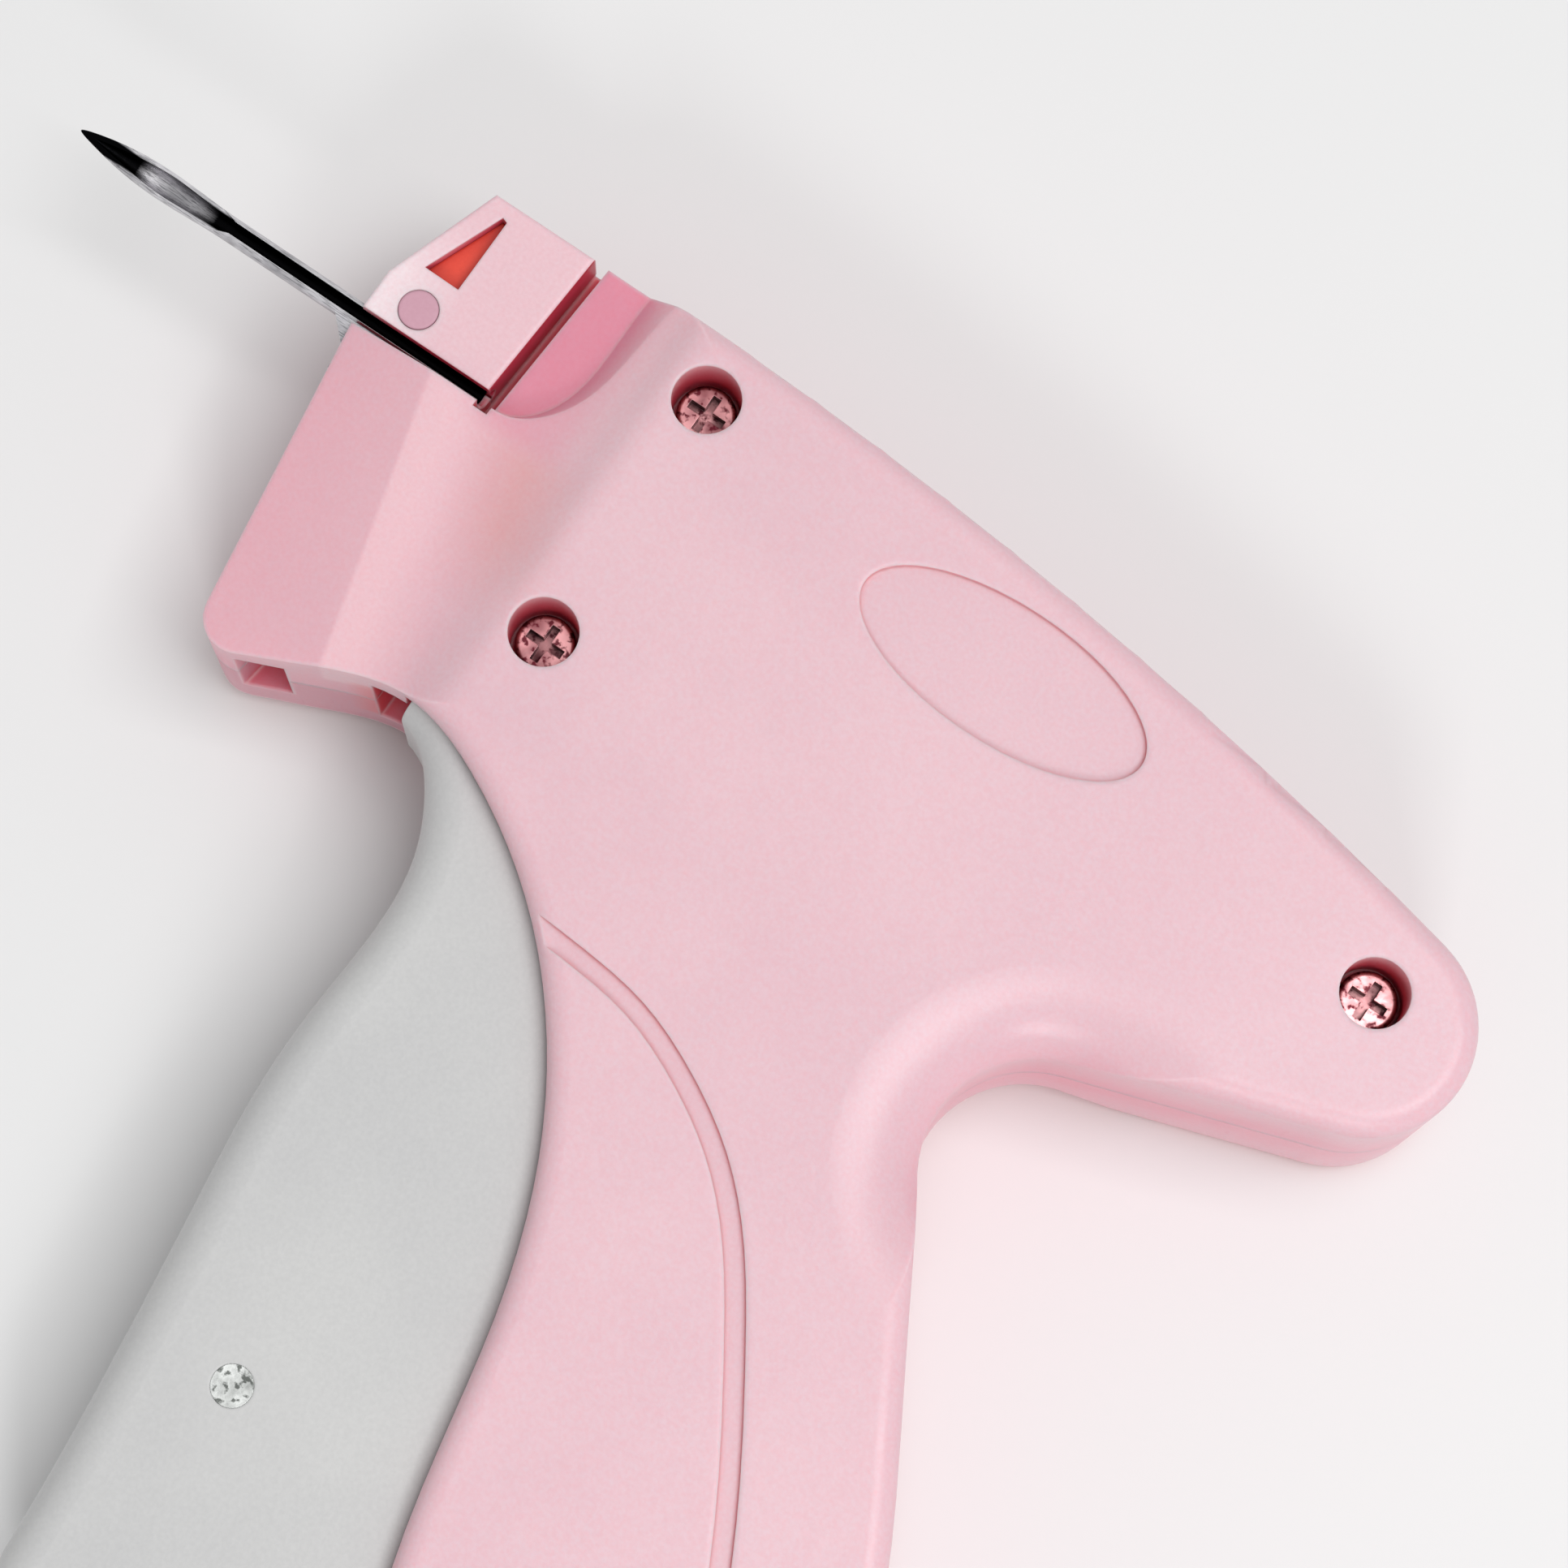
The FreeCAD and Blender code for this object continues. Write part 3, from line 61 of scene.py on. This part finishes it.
class Nodes:
    """A material's node tree, with short calls for the nodes that the recipes share."""

    def __init__(self, name):
        self.material = bpy.data.materials.new(name)
        self.material.use_nodes = True
        self.tree = self.material.node_tree
        self.shader = self.tree.nodes["Principled BSDF"]
        self.place = self.add("ShaderNodeTexCoord").outputs["Object"]
        self.bumped = None

    def add(self, kind, **settings):
        node = self.tree.nodes.new(kind)
        for key, value in settings.items():
            setattr(node, key, value)
        return node

    def link(self, source, target):
        self.tree.links.new(source, target)

    def stretched(self, x, y, z):
        mapping = self.add("ShaderNodeMapping")
        self.link(self.place, mapping.inputs["Vector"])
        mapping.inputs["Scale"].default_value = (x, y, z)
        return mapping.outputs["Vector"]

    def noise(self, scale, detail, place=None):
        node = self.add("ShaderNodeTexNoise")
        self.link(place or self.place, node.inputs["Vector"])
        node.inputs["Scale"].default_value = scale
        node.inputs["Detail"].default_value = detail
        return node.outputs["Fac"]

    def ranged(self, source, low, high, to_low, to_high):
        node = self.add("ShaderNodeMapRange")
        self.link(source, node.inputs["Value"])
        node.inputs["From Min"].default_value = low
        node.inputs["From Max"].default_value = high
        node.inputs["To Min"].default_value = to_low
        node.inputs["To Max"].default_value = to_high
        return node.outputs["Result"]

    def math(self, operation, a, b):
        node = self.add("ShaderNodeMath", operation=operation)
        for socket, value in zip(node.inputs, (a, b)):
            if isinstance(value, (int, float)):
                socket.default_value = value
            else:
                self.link(value, socket)
        return node.outputs["Value"]

    def mixed(self, fac, a, b):
        node = self.add("ShaderNodeMix", data_type="RGBA")
        self.link(fac, node.inputs["Factor"])
        for key, value in (("A", a), ("B", b)):
            socket = [s for s in node.inputs if s.name == key and s.type == "RGBA"][0]
            if isinstance(value, tuple):
                socket.default_value = value
            else:
                self.link(value, socket)
        return [s for s in node.outputs if s.type == "RGBA"][0]

    def bump(self, height, strength, distance):
        """One more layer of relief, on top of the layers before it."""
        node = self.add("ShaderNodeBump")
        node.inputs["Strength"].default_value = strength
        node.inputs["Distance"].default_value = distance
        self.link(height, node.inputs["Height"])
        if self.bumped is not None:
            self.link(self.bumped, node.inputs["Normal"])
        self.bumped = node.outputs["Normal"]
        self.link(self.bumped, self.shader.inputs["Normal"])


def crevice_shade(m, reach, low, high):
    """Factor that rises in recesses and corners narrower than the reach, used to paint shade into
    them.
    """
    node = m.add("ShaderNodeAmbientOcclusion", samples=8)
    node.inputs["Distance"].default_value = reach
    return m.ranged(node.outputs["AO"], low, high, 1.0, 0.0)


def gun_place(m, along):
    """Place along one of the gun's axes, or along a mix of them, in millimetres."""
    shifted = m.add("ShaderNodeVectorMath", operation="SUBTRACT")
    m.link(m.place, shifted.inputs[0])
    shifted.inputs[1].default_value = gun(0, 0, 0)
    place = m.add("ShaderNodeVectorMath", operation="DOT_PRODUCT")
    m.link(shifted.outputs["Vector"], place.inputs[0])
    place.inputs[1].default_value = Vector(along) * 1000
    return place.outputs["Value"]


def region(m, strength, *bounds):
    """Factor of a box with soft sides.

    Each bound is a direction, its two ends and the half widths of the two ramps there.
    """
    factor = None
    for along, low, high, low_ramp, high_ramp in bounds:
        place = gun_place(m, along)
        rise = m.ranged(place, low - low_ramp, low + low_ramp, 0.0, 1.0)
        fall = m.ranged(place, high - high_ramp, high + high_ramp, 1.0, 0.0)
        both = m.math("MULTIPLY", rise, fall)
        factor = both if factor is None else m.math("MULTIPLY", factor, both)
    return m.math("MULTIPLY", factor, strength)


def depth_shade(m):
    """Factor that rises from a side face down to the parting plane, for painted shade that grows
    deeper there.
    """
    height = m.math("ABSOLUTE", gun_place(m, ALONG_Z), 0.0)
    return m.ranged(height, FLUSH_Z, DEEPEST_Z, 0.0, 1.0)


def needle_radius(m):
    """Distance from the needle's axis, in millimetres."""
    across_axis = m.math("POWER", gun_place(m, ALONG_Y), 2.0)
    height = m.math("POWER", m.math("SUBTRACT", gun_place(m, ALONG_Z), NEEDLE_Z), 2.0)
    return m.math("SQRT", m.math("ADD", across_axis, height), 0.0)


def round_edges(m, radius):
    """Lets sharp edges catch the light as small radii do, and returns a factor that is 1 on them, for
    painting highlights and shade along them.
    """
    node = m.add("ShaderNodeBevel", samples=4)
    node.inputs["Radius"].default_value = radius
    m.bumped = node.outputs["Normal"]
    facing = m.add("ShaderNodeVectorMath", operation="DOT_PRODUCT")
    m.link(node.outputs["Normal"], facing.inputs[0])
    m.link(m.add("ShaderNodeNewGeometry").outputs["Normal"], facing.inputs[1])
    return m.ranged(facing.outputs["Value"], 0.80, 0.99, 1.0, 0.0)


def plastic(name, base, pale, deep, rough, grain=0.12, soft=0.0, depth_shade_colour=None, painted_patches=(),
            edge_highlight=None, edge_radius=PLASTIC_EDGE):
    """Moulded plastic: clouded colour, fine grain, faint scratches and dull rubbed spots.

    base and pale make the clouds; deep colours the specks and is also the painted shade in crevices;
    the colour given for depth is painted shade that grows on faces far below the side faces; each
    patch is a colour of painted light or of painted shade, its strength and the bounds of its region;
    and the edge colour is a painted highlight along sharp edges.
    """
    m = Nodes(name)
    edges = round_edges(m, edge_radius)
    clouds = m.ranged(m.noise(CLOUDS, 4), 0.35, 0.65, 0.0, 1.0)
    tint = m.mixed(clouds, colour(base), colour(pale))
    # painted shade: faces sunk far below the side faces painted deeper pink
    if depth_shade_colour:
        tint = m.mixed(depth_shade(m), tint, colour(depth_shade_colour))
    # painted light and painted shade, one region at a time
    for code, strength, *bounds in painted_patches:
        tint = m.mixed(region(m, strength, *bounds), tint, colour(code))
    specks = m.ranged(m.noise(SPECKS, 2), 0.3, 0.7, 0.0, 0.10)
    tint = m.mixed(specks, tint, colour(deep))
    # painted shade: crevices painted in the deep colour
    tint = m.mixed(crevice_shade(m, PLASTIC_CREVICE, 0.25, 0.76), tint, colour(deep))
    # painted highlight: sharp edges painted in the paler edge colour
    if edge_highlight:
        tint = m.mixed(m.math("MULTIPLY", edges, 0.6), tint, colour(edge_highlight))
    m.link(tint, m.shader.inputs["Base Color"])

    along_scratches = m.noise(SCRATCHES, 2, m.stretched(1.0, 14.0, 1.0))
    scratches = m.ranged(along_scratches, 0.66, 0.74, 0.0, 1.0)
    rubbed = m.ranged(m.noise(RUBBING, 3), 0.45, 0.7, rough - 0.05, rough + 0.07)
    scratched = m.math("ADD", rubbed, m.math("MULTIPLY", scratches, 0.06))
    m.link(scratched, m.shader.inputs["Roughness"])
    m.bump(m.noise(MOULD_GRAIN, 2), grain, GRAIN_DEPTH)
    m.bump(m.noise(WAVES, 2), 0.06, WAVE_DEPTH)
    m.shader.inputs["Specular IOR Level"].default_value = 0.45
    if soft:
        m.shader.inputs["Subsurface Weight"].default_value = soft
        m.shader.inputs["Subsurface Radius"].default_value = (1.0, 0.35, 0.4)
        m.shader.inputs["Subsurface Scale"].default_value = LIGHT_DEPTH
    return m


def steel(name, base, dark, rough, marks_scale, along=(1.0, 1.0, 1.0), bore=None,
          painted_edge="#F4F4F6", blotch=0.65):
    """Drawn or turned steel: tool marks along the work, stains, an edge colour painted along sharp
    edges, as a highlight when pale and as shade when dark, painted shade in crevices, and painted
    near-black shade inside the bore if it has one.
    """
    m = Nodes(name)
    edges = round_edges(m, STEEL_EDGE)
    marks = m.noise(marks_scale, 4, m.stretched(*along))
    stains = m.ranged(m.noise(STAINS, 3), 0.4, 0.68, 0.0, blotch)
    tint = m.mixed(stains, colour(base), colour(dark))
    tint = m.mixed(m.ranged(marks, 0.52, 0.62, 0.0, blotch), tint, colour(dark))
    # painted highlight where the edge colour is pale, painted shade where it is dark
    tint = m.mixed(m.math("MULTIPLY", edges, 0.8), tint, colour(painted_edge))
    # painted shade: crevices painted near black
    painted_crevice_shade = m.math("MULTIPLY", crevice_shade(m, STEEL_CREVICE, 0.3, 0.8), 0.7)
    tint = m.mixed(painted_crevice_shade, tint, colour("#0A0A0B"))
    if bore:
        # painted shade: inside the needle's bore painted near black
        inside = m.ranged(needle_radius(m), bore, bore + 0.15, 1.0, 0.0)
        tint = m.mixed(inside, tint, colour("#080809"))
    m.link(tint, m.shader.inputs["Base Color"])
    m.link(m.ranged(marks, 0.3, 0.7, rough - 0.07, rough + 0.12), m.shader.inputs["Roughness"])
    m.shader.inputs["Metallic"].default_value = 1.0
    m.bump(marks, 0.25, TOOL_MARK_DEPTH)
    return m


def rubber(name, base, pale, rough):
    """Dull rubber with dust on it."""
    m = Nodes(name)
    dust = m.ranged(m.noise(DUST, 4), 0.5, 0.72, 0.0, 0.5)
    m.link(m.mixed(dust, colour(base), colour(pale)), m.shader.inputs["Base Color"])
    matt = m.ranged(m.noise(300, 2), 0.3, 0.7, rough - 0.08, rough + 0.08)
    m.link(matt, m.shader.inputs["Roughness"])
    m.bump(m.noise(RUBBER_GRAIN, 3), 0.3, RUBBER_DEPTH)
    return m


# Painted light and painted shade: regions where the translucent pink is painted paler for light, and
# deeper and redder for shade.
# painted shade: the far half of the nose's lower face painted darker
UNDER_NOSE_SHADE = ("#C88696", 0.8, (ALONG_X, 1.0, 27.5, 1.0, 0.5), (ALONG_Y, -34.0, -26.2, 0.1, 0.4),
              (ALONG_Z, -8.9, -0.1, 0.2, 0.1))
# painted light: the cheek's band just behind its crease painted paler, as a lit facet
BEHIND_CREASE_LIGHT = ("#F2D0D6", 0.55, (ALONG_CREASE, 9.8, 15.5, 0.25, 3.0),
                 (ALONG_Z, 4.0, 11.0, 0.5, 1.0))
# painted shade: the hollow between the cheek and the body painted salmon
HOLLOW_SHADE = ("#DDA09C", 0.45, (ALONG_CREASE, 17.5, 24.5, 3.0, 3.0),
               (ALONG_Y, -14.0, -2.5, 4.0, 1.5), (ALONG_Z, 6.0, 12.6, 1.0, 0.1))
# painted shade: the scoop beside the feed slot painted deeper pink
SCOOP_SHADE = ("#DC90A4", 1.0, (ALONG_X, 15.0, 29.5, 1.5, 1.5), (ALONG_Y, -2.5, 20.0, 1.0, 1.0),
         (ALONG_Z, 0.0, 8.6, 1.4, 1.4))
# painted shade: the feed slot's walls painted dark red
FEED_SLOT_SHADE = ("#A01426", 1.0, (ALONG_SLOT, 14.9, 16.5, 0.02, 0.02), (ALONG_Y, -2.0, 20.0, 0.1, 0.1),
             (ALONG_Z, 0.0, 6.9, 0.3, 0.3))
# painted shade: the inside of the hole in front of the trigger painted red
TOE_HOLE_SHADE = ("#E23A30", 1.0, (ALONG_X, 17.0, 26.0, 0.5, 0.5), (ALONG_Y, -27.0, -12.0, 0.8, 0.8),
            (ALONG_Z, -5.5, 5.0, 0.4, 0.4))
# painted light: the front end of the nose block painted paler
BLOCK_FRONT_LIGHT = ("#F2E2E6", 0.9, (ALONG_X, -5.0, 5.5, 1.0, 3.0), (ALONG_Y, -5.0, 9.0, 1.0, 4.0))
# painted shade: the block's face towards the feed slot painted dark red
BLOCK_SLOT_SHADE = ("#A01426", 1.0, (ALONG_SLOT, 14.93, 17.0, 0.02, 0.1))

# In each plastic the third colour colours the specks and is also the painted shade in crevices; the
# edge colours are painted highlights, and housing_pink's colour for depth is painted shade on sunk
# faces.
MATERIALS = {
    "housing_pink": plastic(
        "housing_pink", "#DFBEC7", "#E3C3CB", "#DC4458", 0.36, soft=0.6, depth_shade_colour="#E4A4B2",
        edge_highlight="#F6DDE1", edge_radius=HOUSING_EDGE,
        painted_patches=(UNDER_NOSE_SHADE, BEHIND_CREASE_LIGHT, HOLLOW_SHADE, SCOOP_SHADE, FEED_SLOT_SHADE, TOE_HOLE_SHADE),
    ),
    "block_pink": plastic(
        "block_pink", "#E6C2CA", "#E8C7CE", "#C8405A", 0.46, soft=0.3, edge_highlight="#F6DDE1",
        painted_patches=(BLOCK_FRONT_LIGHT, BLOCK_SLOT_SHADE),
    ),
    "insert_red": plastic("insert_red", "#E4412C", "#EE5A44", "#B02218", 0.42),
    "trigger_grey": plastic(
        "trigger_grey", "#C1C1C1", "#C8C8C7", "#8A8A8C", 0.38, grain=0.10, edge_highlight="#E2E2E2",
    ),
    "lock_pink": plastic("lock_pink", "#C898A8", "#CEA2B0", "#A04E68", 0.45),
    "needle_steel": steel(
        "needle_steel", "#D6D4D8", "#4A4A4E", 0.20, 700, (1.0, 18.0, 18.0), bore=BORE_R,
    ),
    # painted shade: the pins' dark edge colour is a dark outline of shade round them
    "pin_steel": steel("pin_steel", "#CDCFCD", "#3A3E3A", 0.32, 1500, painted_edge="#4E524E", blotch=0.85),
    # painted reflection: the pink of the screws' steel and the dark red of its mottling stand for the
    # pink housing reflected in them
    "screw_steel": steel("screw_steel", "#E2A6A8", "#5A1C28", 0.36, 1500, blotch=0.95),
    "spring_steel": steel("spring_steel", "#A9ABAE", "#5A5C60", 0.30, 1200, (1.0, 1.0, 4.0)),
    "lever_white": plastic("lever_white", "#E9E8E2", "#F0EFEA", "#A8A69C", 0.45),
    "slide_white": plastic("slide_white", "#EDECE6", "#F3F2EE", "#AAA8A0", 0.38),
    "feed_black": plastic("feed_black", "#2B2B2D", "#343436", "#101012", 0.45),
    "bumper_rubber": rubber("bumper_rubber", "#26262A", "#55555A", 0.75),
}

SLOT_OF = {
    "left_shell": "housing_pink",
    "right_shell": "housing_pink",
    "nose_block": "block_pink",
    "window_insert": "insert_red",
    "needle": "needle_steel",
    "needle_base": "needle_steel",
    "needle_lock_lever": "lock_pink",
    "knife": "pin_steel",
    "trigger": "trigger_grey",
    "trigger_hinge_pin": "pin_steel",
    "trigger_link_pin": "pin_steel",
    "trigger_link": "lever_white",
    "link_lever_pin": "pin_steel",
    "swing_lever": "lever_white",
    "lever_pivot_pin": "pin_steel",
    "return_spring": "spring_steel",
    "ejector_slide": "slide_white",
    "slide_drive_pin": "pin_steel",
    "push_rod": "pin_steel",
    "slide_bumper": "bumper_rubber",
    "feed_wheel": "feed_black",
    "feed_wheel_axle": "pin_steel",
    "feed_pawl": "feed_black",
    "pawl_pin": "pin_steel",
    "housing_screws": "screw_steel",
}
for name, node in nodes.items():
    node.data.materials.clear()
    node.data.materials.append(MATERIALS[SLOT_OF[name]].material)

# ---- floor ------------------------------------------------------------------------
FLOOR_SIZE = 6
FLOOR_DROP = 0.0002      # just under the part, so that the two don't share a plane

bpy.ops.mesh.primitive_plane_add(size=FLOOR_SIZE, location=(0, 0, -FLOOR_DROP))
floor = bpy.context.object
floor.name = "floor"
paper = Nodes("floor_paper")
shade = paper.ranged(paper.noise(3, 2), 0.35, 0.65, 0.0, 1.0)
paper.link(paper.mixed(shade, colour("#E8E8E8"), colour("#E5E5E5")), paper.shader.inputs["Base Color"])
paper.shader.inputs["Roughness"].default_value = 0.9
paper.shader.inputs["Specular IOR Level"].default_value = 0.1
floor.data.materials.append(paper.material)

# ---- camera -----------------------------------------------------------------------
# The camera looks at the left side from above, turned in the plane of the part, tilted towards
# the handle's end and swung a little to the side.
TURN, TILT, YAW = radians(34.3), radians(11.5), radians(1.2)
DISTANCE = 0.400
AIM = gun(55.55, -12.75)

across = Vector((cos(TURN), sin(TURN), 0))
upward = Vector((-sin(TURN), cos(TURN), 0))
outward = Vector((0, 0, 1))
back = (outward * cos(TILT) - upward * sin(TILT)) * cos(YAW) - across * sin(YAW)
back.normalize()
right = upward.cross(back).normalized()
up = back.cross(right)

camera_data = bpy.data.cameras.new("camera")
camera_data.lens = 104.35
camera_data.sensor_width = 36.0
camera_data.clip_start = 0.01
camera_data.clip_end = 20.0
camera = bpy.data.objects.new("camera", camera_data)
bpy.context.scene.collection.objects.link(camera)
facing = Matrix((right, up, back)).transposed().to_4x4()
camera.matrix_world = Matrix.Translation(AIM + back * DISTANCE) @ facing
bpy.context.scene.camera = camera

# ---- light ------------------------------------------------------------------------
SKY_LIGHT = 0.50         # what the sky gives to the part
SKY_SEEN = 0.86          # what camera, gloss and glass see of it


def sky_background(strength, node):
    node.inputs["Color"].default_value = (1.0, 1.0, 1.0, 1.0)
    node.inputs["Strength"].default_value = strength
    return node.outputs["Background"]


def larger(tree, a, b):
    node = tree.nodes.new("ShaderNodeMath")
    node.operation = "MAXIMUM"
    tree.links.new(a, node.inputs[0])
    tree.links.new(b, node.inputs[1])
    return node.outputs["Value"]


world = bpy.data.worlds.new("world")
bpy.context.scene.world = world
world.use_nodes = True
sky = world.node_tree
light_sky = sky_background(SKY_LIGHT, sky.nodes["Background"])
seen_sky = sky_background(SKY_SEEN, sky.nodes.new("ShaderNodeBackground"))
rays = sky.nodes.new("ShaderNodeLightPath").outputs
seen = larger(sky, rays["Is Camera Ray"], rays["Is Glossy Ray"])
seen = larger(sky, seen, rays["Is Transmission Ray"])
choice = sky.nodes.new("ShaderNodeMixShader")
sky.links.new(seen, choice.inputs["Fac"])
sky.links.new(light_sky, choice.inputs[1])
sky.links.new(seen_sky, choice.inputs[2])
sky.links.new(choice.outputs["Shader"], sky.nodes["World Output"].inputs["Surface"])


def area_lamp(name, offset, size, watts):
    """Square lamp at an offset from the aim, turned towards it."""
    data = bpy.data.lights.new(name, "AREA")
    data.shape = "SQUARE"
    data.size = size
    data.energy = watts
    lamp = bpy.data.objects.new(name, data)
    bpy.context.scene.collection.objects.link(lamp)
    lamp.location = AIM + offset
    lamp.rotation_mode = "QUATERNION"
    lamp.rotation_quaternion = (-offset).to_track_quat("-Z", "Y")


area_lamp("key", across * 0.45 - upward * 0.15 + outward * 1.35, 0.8, 10.9)
area_lamp("edge_light", across * 0.05 - upward * 0.65 + outward * 0.5, 0.18, 1.35)

bpy.context.scene.view_settings.view_transform = "Standard"
